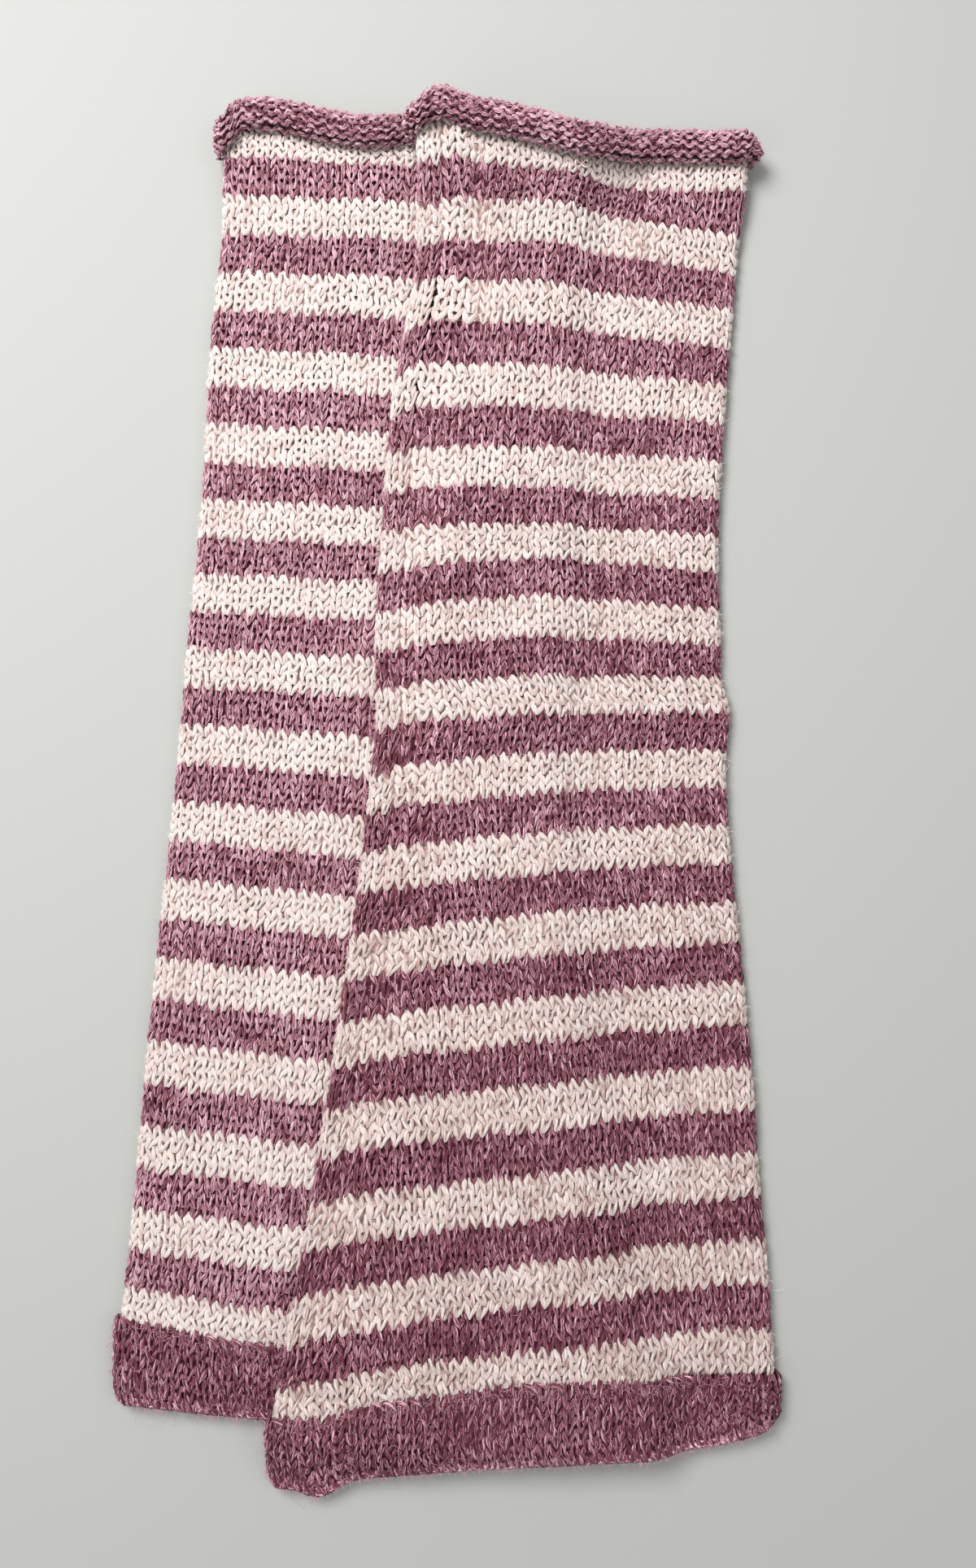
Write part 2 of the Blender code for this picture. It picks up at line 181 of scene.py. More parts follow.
def course_y(mitt, course, x):
    """How far up the course lies at x."""
    left_x, left_y, right_x, right_y, sag = course_ends(mitt, course)
    across = (x - left_x) / (right_x - left_x)
    bow = 4 * sag * np.clip(across * (1 - across), 0, 1)
    near_mouth = np.clip(1 - course / MOUTH_WAVE_COURSES, 0, 1) ** 2
    waves = np.array(MOUTH_WAVES[mitt], float)
    wave = near_mouth * smooth_curve(waves[:, 0], waves[:, 1], np.clip(across, 0, 1))
    bag = rise = 0.0
    if mitt == UPPER:
        near_hem = ease(*PUCKER_COURSES, course)
        offset = (x - left_x - PUCKER_FROM_FOLD) / PUCKER_REACH
        bag = PUCKER_DEPTH * near_hem * np.exp(-(offset**2))
        past = np.clip((x - HEM_RISE_FROM) / (HEM_RISE_TO - HEM_RISE_FROM), 0, 1)
        rise = HEM_RISE * ease(LAST_COURSE, RIM_COURSE, course) * past**HEM_RISE_BEND
    return left_y + across * (right_y - left_y) + bow + wave - bag + rise


def lower_right_edge(y):
    """The x of the lower mitt's right fold at y."""
    table = ROWS[LOWER][::-1]
    return smooth_curve(table[:, 4], table[:, 3], y)


def hand_rise(mitt, x, y):
    """One at the mouth and nought where the mitt lies down flat."""
    return 1 - ease(*LIFT, course_y(mitt, 0, x) - y)


def cover(x, y):
    """One where the upper mitt lies on the lower, falling to nought past its edges."""
    at_roll = hand_rise(LOWER, x, y)
    hem_line = course_y(LOWER, LAST_COURSE, x)
    on_hem = ease(*WIDEN_BEFORE_HEM, hem_line - y)
    edge = lower_right_edge(y) + EDGE_PAST + ROLL_PAST * at_roll + HEM_PAST * on_hem
    beside = 1 - ease(0, DROP_RUN + DROP_RUN_AT_ROLL * at_roll, x - edge)
    hem_end = course_y(LOWER, RIM_COURSE, x)
    return beside * (1 - ease(0, DROP_BELOW_HEM, hem_end - y))


def base_height(mitt, x, y):
    """How high the underside of the cloth lies."""
    lift = HAND_LIFT * hand_rise(mitt, x, y)
    if mitt == LOWER:
        return lift
    at_roll = hand_rise(LOWER, x, y)
    hem_line = course_y(LOWER, LAST_COURSE, x)
    on_hem = ease(*RISE_BEFORE_HEM, hem_line - y)
    under = FLAT + (HAND_LIFT + 2 * ROLL_COVERED) * at_roll + (HEM_FLAT - FLAT) * on_hem
    return lift + cover(x, y) * (under + REST_GAP)


def hem_insets(mitt, course):
    """How far each side of the hem is drawn in, to round its lower corners."""
    first = RIM_COURSE - HEM_CORNER_COURSES
    past = np.clip((course - first) / HEM_CORNER_COURSES, 0, 1)
    share = 1 - np.sqrt(1 - past**2)
    return [corner * share for corner in HEM_CORNERS[mitt]]


def tube_edges(mitt, course, flat=FLAT, wider=0.0):
    """Where the flat top starts and ends at a course, and its half thickness."""
    left_x, _, right_x, _, _ = course_ends(mitt, course)
    insets = hem_insets(mitt, course) if wider else (0.0, 0.0)
    radius = flat / 2
    return left_x - wider + radius + insets[0], right_x + wider - radius - insets[1], radius


def place(mitt, course, s, out, flat=FLAT, wider=0.0):
    """Points on the tube: s runs across the top from its left edge and goes on round both folds,
    and out is the distance out from the cloth's surface."""
    left, right, radius = tube_edges(mitt, course, flat, wider)
    width = right - left
    quarter = pi * radius
    past_left = np.maximum(-s, 0)
    past_right = np.maximum(s - width, 0)
    turn = (np.minimum(past_right, quarter) - np.minimum(past_left, quarter)) / radius
    back = np.maximum(past_left - quarter, 0) - np.maximum(past_right - quarter, 0)
    held = left + np.clip(s, 0, width) + back
    reach = radius + out
    x = held + reach * np.sin(turn)
    y = course_y(mitt, course, x)
    z = base_height(mitt, held, y) + radius + reach * np.cos(turn)
    return np.stack(np.broadcast_arrays(x, y, z), axis=-1)


# Materials


def node(tree, kind, **values):
    made = tree.nodes.new("ShaderNode" + kind)
    for name, value in values.items():
        if hasattr(made, name):
            setattr(made, name, value)
        else:
            made.inputs[name].default_value = value
    return made


def ramp(tree, factor, stops):
    made = node(tree, "ValToRGB")
    elements = made.color_ramp.elements
    while len(elements) < len(stops):
        elements.new(0.5)
    for element, (position, colour) in zip(elements, stops):
        element.position = position
        element.color = (*colour, 1)
    tree.links.new(factor, made.inputs[0])
    return made.outputs[0]


def maths(tree, operation, a, b=0):
    made = node(tree, "Math", operation=operation)
    for socket, value in zip(made.inputs, (a, b)):
        if isinstance(value, (int, float)):
            socket.default_value = value
        else:
            tree.links.new(value, socket)
    return made.outputs[0]


def new_material(name, roughness, sheen, sheen_tint, soft=0.0):
    material = bpy.data.materials.new(name)
    material.use_nodes = True
    shader = material.node_tree.nodes["Principled BSDF"]
    for socket, value in (
        ("Roughness", roughness),
        ("Specular IOR Level", 0.25),
        ("Sheen Weight", sheen),
        ("Sheen Roughness", 0.5),
        ("Sheen Tint", (*sheen_tint, 1)),
        ("Subsurface Weight", soft),
        ("Subsurface Radius", (1.0, 0.55, 0.5)),
        ("Subsurface Scale", 0.0012),
    ):
        shader.inputs[socket].default_value = value
    return material, material.node_tree, shader


PATCH_SHARE, MIDDLE_TONE = 0.25, 0.40


def yarn_material(name, stops, sheen, sheen_tint, streak_scale, bump, contrast, soft):
    """Fibre streaks along each leg of a stitch, broad patches, and a tone for each stitch that also
    carries painted shade.
    """
    material, tree, shader = new_material(name, 0.85, sheen, sheen_tint, soft)
    link = tree.links.new
    uv = node(tree, "UVMap", uv_map="yarn")
    spread = node(tree, "Mapping", Scale=(*streak_scale, 1))
    link(uv.outputs[0], spread.inputs[0])
    streaks = node(tree, "TexNoise", Scale=1.0, Detail=3.0, Roughness=0.65)
    link(spread.outputs[0], streaks.inputs["Vector"])
    place_of = node(tree, "TexCoord")
    patches = node(tree, "TexNoise", Scale=55.0, Detail=2.0)
    link(place_of.outputs["Object"], patches.inputs["Vector"])
    # The stitches' tone attribute also holds painted shade
    tone_and_shade = node(tree, "Attribute", attribute_name="tone_and_shade")
    mixed = maths(tree, "MULTIPLY", streaks.outputs[0], contrast)
    blotches = maths(tree, "MULTIPLY", patches.outputs[0], PATCH_SHARE)
    mixed = maths(tree, "ADD", mixed, blotches)
    mixed = maths(tree, "SUBTRACT", mixed, contrast / 2 - MIDDLE_TONE)
    mixed = maths(tree, "ADD", mixed, tone_and_shade.outputs["Fac"])
    link(ramp(tree, mixed, stops), shader.inputs["Base Color"])
    raised = node(tree, "Bump", Strength=bump, Distance=0.0004)
    link(streaks.outputs[0], raised.inputs["Height"])
    link(raised.outputs[0], shader.inputs["Normal"])
    return material


def off_middle(tree, value):
    """How far a value is from the middle of its unit step."""
    part = maths(tree, "FRACT", value)
    return maths(tree, "ABSOLUTE", maths(tree, "SUBTRACT", part, 0.5))


def backing_material(name, painted_hollow_shade, light):
    """Cloth behind the stitches, coloured darker than its yarn as painted shade where it shows between
    them, and plain knit elsewhere, with painted shade in the knit's hollows.
    """
    material, tree, shader = new_material(name, 0.95, 0.2, light)
    link = tree.links.new
    uv = node(tree, "UVMap", uv_map="yarn")
    split = node(tree, "SeparateXYZ")
    link(uv.outputs[0], split.inputs[0])
    half = off_middle(tree, split.outputs[0])
    lean = maths(tree, "ADD", split.outputs[1], maths(tree, "MULTIPLY", half, 1.6))
    rows = off_middle(tree, lean)
    legs = maths(tree, "ABSOLUTE", maths(tree, "SUBTRACT", half, 0.25))
    sunk = maths(tree, "ADD", rows, maths(tree, "MULTIPLY", legs, 2.5))
    height = maths(tree, "SUBTRACT", 1.0, sunk)
    # Painted shade: the hollows of the knit pattern are coloured darker than its raised parts
    link(ramp(tree, height, ((0.2, painted_hollow_shade), (0.85, light))), shader.inputs["Base Color"])
    raised = node(tree, "Bump", Strength=0.8, Distance=0.0012)
    link(height, raised.inputs["Height"])
    link(raised.outputs[0], shader.inputs["Normal"])
    return material


ROSE_STOPS = (
    (0.26, (0.11, 0.018, 0.034)),
    (0.40, (0.235, 0.062, 0.095)),
    (0.50, (0.375, 0.145, 0.195)),
    (0.60, (0.58, 0.295, 0.365)),
    (0.72, (0.88, 0.60, 0.66)),
)
PALE_STOPS = (
    (0.15, (0.36, 0.21, 0.19)),
    (0.34, (0.69, 0.52, 0.485)),
    (0.50, (0.84, 0.68, 0.64)),
    (0.68, (0.90, 0.77, 0.73)),
)
YARNS = {
    "rose": yarn_material("rose_yarn", ROSE_STOPS, 0.25, (0.85, 0.6, 0.66), (3.6, 0.6), 1.2, 2.2, 0.08),
    "pale": yarn_material("pale_yarn", PALE_STOPS, 0.2, (1.0, 0.9, 0.88), (4.5, 0.8), 0.9, 1.2, 0.35),
}
# The backings are darker than their yarns: painted shade where the cloth shows between stitches
ROSE_BACKING = backing_material("rose_backing", (0.06, 0.012, 0.022), (0.19, 0.055, 0.08))
PALE_BACKING = backing_material("pale_backing", (0.32, 0.20, 0.18), (0.64, 0.48, 0.44))


def plain_material(name, roughness, sheen, sheen_tint, colour):
    material, _, shader = new_material(name, roughness, sheen, sheen_tint)
    shader.inputs["Base Color"].default_value = (*colour, 1)
    return material


# Painted shade: a near-black sheet for the inside of the thumb slit, where the cloth lies in shadow
PAINTED_SHADE_INSIDE = plain_material("painted_shade_inside", 0.95, 0.0, (1, 1, 1), (0.10, 0.055, 0.055))
FIBRES = {
    "rose": plain_material("rose_fibre", 0.9, 0.2, (0.9, 0.7, 0.75), (0.56, 0.28, 0.35)),
    "pale": plain_material("pale_fibre", 0.9, 0.2, (1.0, 0.95, 0.93), (0.86, 0.76, 0.73)),
}


def new_object(name, data):
    made = bpy.data.objects.new(name, data)
    bpy.context.scene.collection.objects.link(made)
    return made


def settle(z):
    """Heights in mm, pressed flat where they would go below the floor."""
    return np.where(z < PRESSED, PRESSED * np.exp((z - PRESSED) / PRESSED), z)


def make_piece(name, points, faces, materials, slot, face_materials=None, uv=None, tone_and_shade=None):
    """A mesh piece in the row's frame, smooth shaded, with its yarn UV map and tones, which carry tone
    and, on strands, painted shade.
    """
    points = np.asarray(points, float).reshape(-1, 3)
    points[:, 2] = settle(points[:, 2])
    mesh = bpy.data.meshes.new(name)
    mesh.from_pydata((points - MIDDLE) * MM, [], faces)
    if face_materials is not None:
        mesh.polygons.foreach_set("material_index", np.asarray(face_materials, np.int32))
    for material in materials:
        mesh.materials.append(material)
    mesh.validate()
    mesh.shade_smooth()
    if uv is not None:
        layer = mesh.uv_layers.new(name="yarn")
        layer.uv.foreach_set("vector", np.asarray(uv, np.float32)[faces.ravel()].ravel())
    if tone_and_shade is not None:
        attribute = mesh.attributes.new("tone_and_shade", "FLOAT", "POINT")
        attribute.data.foreach_set("value", np.asarray(tone_and_shade, np.float32).ravel())
    made = new_object(name, mesh)
    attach(made, "root")
    return made


def unit(rows):
    return rows / np.linalg.norm(rows, axis=1)[:, None]


def distance_along(line):
    """How far along the line each of its points is."""
    return np.concatenate([[0], np.cumsum(np.linalg.norm(np.diff(line, axis=0), axis=1))])


def grid_faces(rows, columns, closed_columns=False):
    """Quads over rows of points."""
    last = columns if closed_columns else columns - 1
    i, j = np.meshgrid(np.arange(rows - 1), np.arange(last), indexing="ij")
    i, j = i.ravel(), j.ravel()
    across = (j + 1) % columns
    here, below = i * columns, (i + 1) * columns
    return np.stack([here + j, here + across, below + across, below + j], axis=1)


# Strands: short lengths of plump yarn, laid on the cloth one by one, with so many points along
# and around them
FINE = (6, 5)
COARSE = (4, 3)
PLY = (6, 3)
# Half the distance between the two plies of each yarn, and half a ply's width
YARN_SIZES = {"pale": (0.27, 0.58), "rose": (0.34, 0.41)}
PLY_FLATTER = 0.8
KINDS = 4
STITCH_TWIST = 1.3 * pi
UNDER_LEG, UNDER_DEPTH = 0.74, 0.72
UNDER = radians(112)
UV_LENGTH, UV_SPIRAL = 2.6, 0.35
# Painted shade on each strand: darker along its sides, where it turns under, and at its thin ends,
# where it dives beneath its neighbours
PAINTED_SHADE_UNDER, PAINTED_SHADE_THIN = 0.09, 0.05


def strand(across, down, height, swell, half_width, depth, around=FINE[1]):
    """One strand's rows of points, in mm: across, down, height, then UVs and painted shade."""
    centre = np.stack([across, down], axis=1)
    along = unit(np.gradient(centre, axis=0))
    angle = UNDER * np.linspace(-1, 1, around)[None, :]
    thick = half_width * swell[:, None]
    points_a = across[:, None] - along[:, 1:2] * thick * np.sin(angle)
    points_d = down[:, None] + along[:, 0:1] * thick * np.sin(angle)
    points_h = height[:, None] + depth * swell[:, None] * np.cos(angle)
    u = np.broadcast_to(np.linspace(0, 1, around)[None, :], points_a.shape)
    v = distance_along(centre)[:, None] / UV_LENGTH + UV_SPIRAL * u
    painted_shade = -PAINTED_SHADE_UNDER * (1 - np.cos(angle)) - PAINTED_SHADE_THIN * (1 - swell[:, None])
    return np.stack([points_a, points_d, points_h, u, v, painted_shade], axis=-1).reshape(-1, 6)


LEG_FROM, LEG_TO = 0.14, 1.55
LEG_BEND = 0.88
LEG_TURNS_IN = 0.15
LEG_TIP, LEG_LENGTH = 3.70, 4.50
LEG_STEPS = (0, 0.2, 0.4, 0.6, 0.8, 1)
LEG_HEIGHTS = (-0.55, -0.42, -0.38, -0.48, -0.75, -1.15)
LEG_SWELLS = (0.62, 0.84, 0.97, 1.0, 0.95, 0.75)


def leg_path(points):
    """The middle of the right leg of a stitch: across, down, height and plumpness."""
    t = np.linspace(0, 1, points)
    across = LEG_FROM + (LEG_TO - LEG_FROM) * t**LEG_BEND - LEG_TURNS_IN * ease(0.75, 1, t)
    down = LEG_TIP - LEG_LENGTH * t
    return across, down, np.interp(t, LEG_STEPS, LEG_HEIGHTS), np.interp(t, LEG_STEPS, LEG_SWELLS)


def under_leg():
    """A leg of one smooth strand, for the underside."""
    return strand(*leg_path(COARSE[0]), UNDER_LEG, UNDER_DEPTH, COARSE[1])


def plies(path, apart, half_width, phase, twist):
    """Two thin strands that wind round a middle line."""
    across, down, height, swell = path
    along = unit(np.gradient(np.stack([across, down], axis=1), axis=0))
    made = []
    for side in (0, pi):
        angle = phase + side + twist * np.linspace(0, 1, PLY[0])
        beside = apart * swell * np.cos(angle)
        raised = height + PLY_FLATTER * apart * swell * np.sin(angle)
        moved = across - along[:, 1] * beside, down + along[:, 0] * beside
        made.append(strand(*moved, raised, swell, half_width, half_width, PLY[1]))
    return made


ARCH_HALF_WIDTH = 1.65
ARCH_ENDS, ARCH_HEIGHT = -1.50, 1.35


def crescent_path(rise, drop):
    """An arch across the cloth, as the purl side shows: rise is how far its middle stands up."""
    t = np.linspace(-1, 1, PLY[0])
    down = -rise * (1 - t**2) + drop
    height = ARCH_ENDS + ARCH_HEIGHT * (1 - np.abs(t) ** 2.0)
    return ARCH_HALF_WIDTH * t, down, height, (1 - 0.75 * np.abs(t) ** 3) ** 0.8


WHIP_FROM, WHIP_ACROSS = -2.0, 3.9
WHIP_UP, WHIP_DOWN = 2.4, 2.5
WHIP_ENDS, WHIP_HEIGHT = -0.85, 1.55
WHIP_YARN = 0.55


def whip_strand():
    """A slanted loop of the thread that sews the hem down."""
    t = np.linspace(0, 1, FINE[0])
    across = WHIP_FROM + WHIP_ACROSS * t
    down = -0.5 - WHIP_UP * t * (1 - t) + WHIP_DOWN * t**2
    height = WHIP_ENDS + WHIP_HEIGHT * np.sin(pi * (0.04 + 0.92 * t)) ** 0.8
    swell = np.sin(pi * (0.07 + 0.86 * t)) ** 0.5
    return strand(across, down, height, swell, WHIP_YARN, WHIP_YARN)


def varied(count, by, middle=0.0):
    """A value for each stitch, that differs by about so much."""
    return rng.normal(middle, by, (count, 1))


class Yarn:
    """Strands gathered for one piece."""

    def __init__(self):
        self.points, self.faces, self.uvs, self.tones = [], [], [], []
        self.count = 0

    def add(self, template, xyz, tones, flip, shape=FINE):
        count = len(xyz)
        faces = grid_faces(*shape)
        if flip:
            faces = faces[:, ::-1]
        size = shape[0] * shape[1]
        starts = self.count + np.arange(count)[:, None, None] * size
        self.faces.append((faces[None] + starts).reshape(-1, 4))
        self.points.append(xyz.reshape(-1, 3))
        shift = rng.uniform(0, 60, (count, 1, 2))
        self.uvs.append((template[None, :, 3:5] + shift).reshape(-1, 2))
        # Each point's tone takes the painted shade of its strand
        self.tones.append((tones + template[None, :, 5]).reshape(-1))
        self.count += count * size

    def piece(self, name, colour):
        gathered = (self.points, self.faces, self.uvs, self.tones)
        points, faces, uvs, tones = (np.concatenate(parts) for parts in gathered)
        return make_piece(name, points, faces, [YARNS[colour]], f"{colour}_knit", uv=uvs, tone_and_shade=tones)


def stripe_is_pale(course):
    return (course // STRIPE_COURSES) % 2 == 0


def column_list(mitt, course, flat=FLAT, wider=0.0):
    """Columns of stitches at a course: centre from the top's left edge, width, how far the centre
    moves by the next course, and side of the seam."""
    here = tube_edges(mitt, course, flat, wider)
    width = float(here[1] - here[0])
    if mitt == LOWER:
        left_end = course_ends(UPPER, course)[0]
        shown = min(float(left_end - here[0]) + 4 * STITCH, width)
        return [(centre, STITCH, 0.0, 0) for centre in np.arange(-1.5 * STITCH, shown, STITCH)]
    after = tube_edges(mitt, course + 1.0, flat, wider)
    slope = 0.0 if wider else float(after[1] - after[0]) - width
    seam = SEAM_FROM_FOLD + wider - flat / 2
    found = [(seam - (k + 0.5) * STITCH, STITCH, 0.0, -1) for k in range(EDGE_STITCHES + 1)]
    room = (width - seam) / STITCH
    spare = (room - int(room)) * STITCH / STRETCHED
    edge = seam
    for k in range(STRETCHED):
        wide = STITCH + spare
        found.append((edge + wide / 2, wide, slope * (k + 0.5) / STRETCHED, 1))
        edge += wide
    for centre in np.arange(edge + STITCH / 2, width + 2.2 * STITCH, STITCH):
        found.append((centre, STITCH, slope, 0))
    return found


def back_columns(mitt, course, *tube):
    """Columns of the underside, from the left fold round to the right."""
    left, right, radius = tube_edges(mitt, course, *tube)
    width = float(right - left)
    first = column_list(mitt, course, *tube)
    start = min(centre for centre, *_ in first) - STITCH
    end = -width - pi * radius * (2 if mitt == LOWER else 1)
    return [(centre, STITCH, 0.0, 0) for centre in np.arange(start, end, -STITCH)]


def stitch_table(mitt, courses, columns, *tube):
    """A row for each stitch: its course, then what the columns say."""
    table = [(course, *column) for course in courses for column in columns(mitt, course, *tube)]
    return np.array(table, float)


# Where the cloth of the upper mitt is creased near the hand end: x, width and height
CREASES = ((-2.5, 3.0, -0.8), (-9.0, 4.0, 0.6))
CREASED = (105, 140)


def relief(mitt, x, y):
    """Slight rise and fall of the cloth as it lies."""
    wave = 0.22 * np.sin(x * 0.11 + 0.03 * y + 1.0) * np.sin(y * 0.045 + 0.5)
    wave = wave + 0.15 * np.sin(x * 0.19 - y * 0.06)
    if mitt == UPPER:
        near_hand = ease(*CREASED, y)
        for middle, wide, height in CREASES:
            wave = wave + height * (np.exp(-(((x - middle) / wide) ** 2)) * near_hand)
    return wave


UNEVEN_SHIFT = {LOWER: 0.2, UPPER: 1.7}


def uneven_rows(mitt, course, s):
    """Small unevenness of the rows, in courses."""
    broad = 0.10 * np.sin(s * 0.23 + course * 0.11 + UNEVEN_SHIFT[mitt])
    return broad + 0.07 * np.sin(s * 0.61 - course * 0.37)


def in_slit(course):
    """One along the thumb slit and nought past its ends."""
    start, end = SLIT_COURSES
    begun = ease(start - 1.0, start + 1.5, course)
    return begun * (1 - ease(end - 1.5, end + 1.0, course))


SEAM_WIDTH = 1.7
SEAM_SINK, SLIT_SINK = 0.40, 0.5
SLIT_DRAG = 0.16
SLIT_OPENS = (-0.30, 0.12)
SLIT_OPEN_REACH = 4.0


def near_seam(course, s, side):
    """What the seam and the thumb slit do to a place: its course, its s and how far it sinks."""
    away = s - SEAM
    slit = in_slit(course)
    near = np.exp(-((away / SEAM_WIDTH) ** 2))
    left = side < 0
    step_down = 0.30 + 0.25 * np.sin(course * 0.21 + 0.6)
    jog = step_down * ease(-0.5, 1.5, -away) + SLIT_DRAG * slit * np.maximum(-away, 0)
    moved = course + np.where(left, jog, 0)
    opened = s + slit * np.where(left, *SLIT_OPENS) * np.exp(-((away / SLIT_OPEN_REACH) ** 2))
    sunk = near * SEAM_SINK * (1 - slit) - slit * near * np.where(left, 0.0, SLIT_SINK)
    return moved, opened, sunk


RIM = 1.3
RIM_PLUMP = 0.7
HEM_START = LAST_COURSE - 0.65
HEM_ROW = 1.08
HEM_TOP = ((0, 45, 68, 95, 121, 145), (0.0, -0.1, -0.35, 0.1, 0.75, 0.75))
BACK_SHOWS = 1.3
BACK_SHOWS_FROM = (-14.0, 0.0)
BACK_SHOWS_TO = (45.0, 62.0)


def hem_place(mitt, course, s, out):
    """Points on the hem's outside, going round its folded edge."""
    if mitt == UPPER:
        fade = np.clip((LAST_COURSE + 5 - course) / (LAST_COURSE + 5 - HEM_START), 0, 1.1)
        course = course + np.interp(s, *HEM_TOP) * fade
    turn = np.clip(((course - RIM_COURSE) * PITCH + RIM) / RIM, 0, 2.2)
    before = np.minimum(course, RIM_COURSE - RIM / PITCH)
    reach = RIM + out + RIM_PLUMP * np.clip(-out, 0, 1) * np.sin(np.clip(turn, 0, pi / 2))
    moved = before + reach * np.sin(turn) / PITCH
    points = place(mitt, moved, s, reach * np.cos(turn) - RIM, *HEM_TUBE)
    if mitt == UPPER:
        x = points[..., 0]
        behind = ease(0.6, 1.6, -s / (pi * HEM_FLAT / 2))
        shown = ease(*BACK_SHOWS_FROM, x) * (1 - ease(*BACK_SHOWS_TO, x))
        near_rim = ease(RIM_COURSE - 4, RIM_COURSE - 1, moved)
        points[..., 1] -= BACK_SHOWS * behind * shown * near_rim
    return points


# How much each stitch differs: across, down, in size, in height and in tone, then its plies' tone
VARIED_ACROSS, VARIED_DOWN, VARIED_SIZE = 0.12, 0.18, 0.05
VARIED_HEIGHT, VARIED_TONE = 0.10, 0.020
VARIED_PLY_TONE = {1: 0.016, 2: 0.07}
# Painted light on each mitt's stitches: a tone offset at the hand end, then painted shade that deepens
# towards the arm end
PAINTED_LIGHT_FADE = {UPPER: (-0.005, -0.12), LOWER: (0.045, -0.04)}


def lay_stitches(yarn, mitt, table, templates, lean, shape, hem=False, sink=0.0, deeper=0.03):
    """Both legs of every stitch in the table."""
    ply_tone = VARIED_PLY_TONE[len(templates)]
    count = len(table)
    course, centre, wide, slope, side = (table[:, i][:, None] for i in range(5))
    shift_a = varied(count, VARIED_ACROSS)
    shift_d = varied(count, VARIED_DOWN)
    size = 1 + varied(count, VARIED_SIZE)
    # Painted light: the tone is offset by mitt and darkens towards the arm end as painted shade
    start, painted_shade_to_arm = PAINTED_LIGHT_FADE[UPPER if hem else mitt]
    tone_and_shade = varied(count, VARIED_TONE) + deeper + start
    tone_and_shade = tone_and_shade + painted_shade_to_arm * ease(0, LAST_COURSE, course)
    for hand in (-1, 1):
        tilt = varied(count, TILTED)
        lift = varied(count, VARIED_HEIGHT)
        for template in templates:
            a = hand * template[:, 0] * size + shift_a
            d = template[:, 1] + shift_d
            r = d / PITCH
            s = centre + slope * (r - 0.5) + (a + (lean[:, None] + tilt) * (d - 1.5)) * wide / STITCH
            h = template[:, 2] * size + lift - sink
            at = course + r
            if hem:
                at = at + 0.5 * uneven_rows(mitt, course, s)
                xyz = hem_place(mitt, at, s, h)
            else:
                if mitt == UPPER:
                    at, s, sunk = near_seam(at, s, side)
                    h = h - sunk
                at = at + uneven_rows(mitt, course, s)
                xyz = place(mitt, at, s, h)
            xyz[..., 2] += relief(mitt, xyz[..., 0], xyz[..., 1]) * ease(-2, 1, s)
            tones = tone_and_shade + varied(count, ply_tone)
            yarn.add(template, xyz, tones, hand > 0, shape)


def lay_plied(yarn, mitt, table, lean, colour, hem=False, deeper=0.03):
    """Stitches of two plies, of a few kinds that differ in where the twist starts."""
    kind = rng.integers(0, KINDS, len(table))
    for i in range(KINDS):
        chosen = kind == i
        pair = plies(leg_path(PLY[0]), *YARN_SIZES[colour], i * pi / KINDS, STITCH_TWIST)
        lay_stitches(yarn, mitt, table[chosen], pair, lean[chosen], PLY, hem, deeper=deeper)


# How far the rows lean, as a share of the distance down
LEAN, LEAN_FIRST, LEAN_VARIED = 0.12, 0.14, 0.7
LEAN_LOW, LEAN_RIGHT, LEAN_LAST = 0.10, 0.07, 0.08
LEAN_LAST_FROM = 112
LEAN_LIMITS = (-0.30, 0.34)
ROSE_LEAN, HEM_LEAN = 0.04, 0.06
HALF_WAY = 64


def row_lean(colour, course, s):
    """How far the stitches lean: to alternate sides, and more towards the arm end."""
    sign = np.where(course % 2 == 0, 1.0, -1.0)
    low = ease(40, 124, course)
    if colour == "rose":
        return sign * (ROSE_LEAN + ROSE_LEAN * low)
    first = np.where(course % STRIPE_COURSES == 0, LEAN_FIRST, 0.0)
    right, last = ease(20, 80, s), course >= LEAN_LAST_FROM
    lean = first + sign * (LEAN + LEAN_LOW * low + LEAN_RIGHT * right + LEAN_LAST * last)
    lean = lean * (1 + LEAN_VARIED * np.sin(1.3 * (course // STRIPE_COURSES) + s * 0.05))
    return np.clip(lean, *LEAN_LIMITS)


def body_stitches(mitt):
    """The visible stitches of a body, in pieces by colour and half."""
    table = stitch_table(mitt, range(LAST_COURSE), column_list)
    course = table[:, 0]
    pale = stripe_is_pale(course)
    halves = {"all": course >= 0}
    if mitt == UPPER:
        halves = {"hand": course < HALF_WAY, "arm": course >= HALF_WAY}
    for part, chosen in halves.items():
        for colour, shown in (("pale", pale), ("rose", ~pale)):
            rows = table[chosen & shown]
            lean = row_lean(colour, rows[:, 0], rows[:, 1])
            yarn = Yarn()
            lay_plied(yarn, mitt, rows, lean, colour)
            yield yarn.piece(f"{mitt}_{colour}_stitches_{part}", colour)


UNDER_SINK = 0.42
HIDDEN_BY = 12.0


def lies_on_lower(table):
    """Which of the upper mitt's underside stitches lie on the lower mitt, away from its edges."""
    x, y, _ = place(UPPER, table[:, 0], table[:, 1], 0.0).T
    beside = x < lower_right_edge(y) - HIDDEN_BY
    mouth = course_y(LOWER, 0, x) - HIDDEN_BY
    hem = course_y(LOWER, RIM_COURSE, x) + HIDDEN_BY
    return beside & (y < mouth) & (y > hem)


def under_stitches(mitt):
    """Plainer stitches on the underside, in two pieces by colour."""
    table = stitch_table(mitt, range(LAST_COURSE), back_columns)
    if mitt == UPPER:
        table = table[~lies_on_lower(table)]
    pale = stripe_is_pale(table[:, 0])
    for colour, shown in (("pale", pale), ("rose", ~pale)):
        rows = table[shown]
        yarn = Yarn()
        level = np.zeros(len(rows))
        lay_stitches(yarn, mitt, rows, [under_leg()], level, COARSE, sink=UNDER_SINK)
        yield yarn.piece(f"{mitt}_{colour}_stitches_under", colour)


# The groups of loops that sew the hem
GROUP_RHYTHM, GROUP_START, GROUP_LEAST = 0.16, 2.3, 0.45


